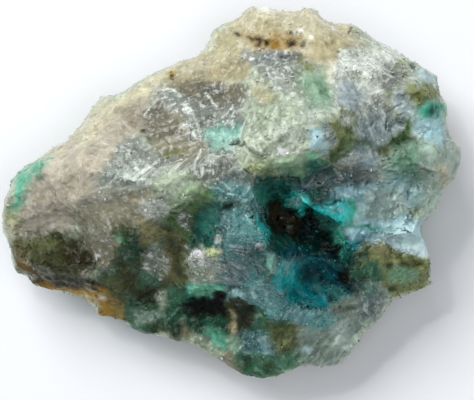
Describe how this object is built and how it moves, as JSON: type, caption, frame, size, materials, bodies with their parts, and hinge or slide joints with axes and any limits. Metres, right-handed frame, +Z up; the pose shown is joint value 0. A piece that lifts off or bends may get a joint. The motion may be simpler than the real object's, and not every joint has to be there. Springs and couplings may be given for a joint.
{
  "type": "chrysocolla specimen",
  "caption": "Rough broken lump of quartz rock with ledges, terraces and a deep copper-stained pocket, lying broad face up on a broken flat of its back.",
  "frame": {"origin": "middle of the stone's box in plan, at the height of the flat it rests on", "axes": "+X along the stone's length towards its lobed end, +Y across it towards its high crown, +Z up out of its broad face"},
  "size_m": [0.0459, 0.0375, 0.0215],
  "materials": {
    "stone": "rough broken mineral, glassy on the quartz faces"
  },
  "bodies": {
    "root": {"stone": "stone"}
  },
  "joints": []
}
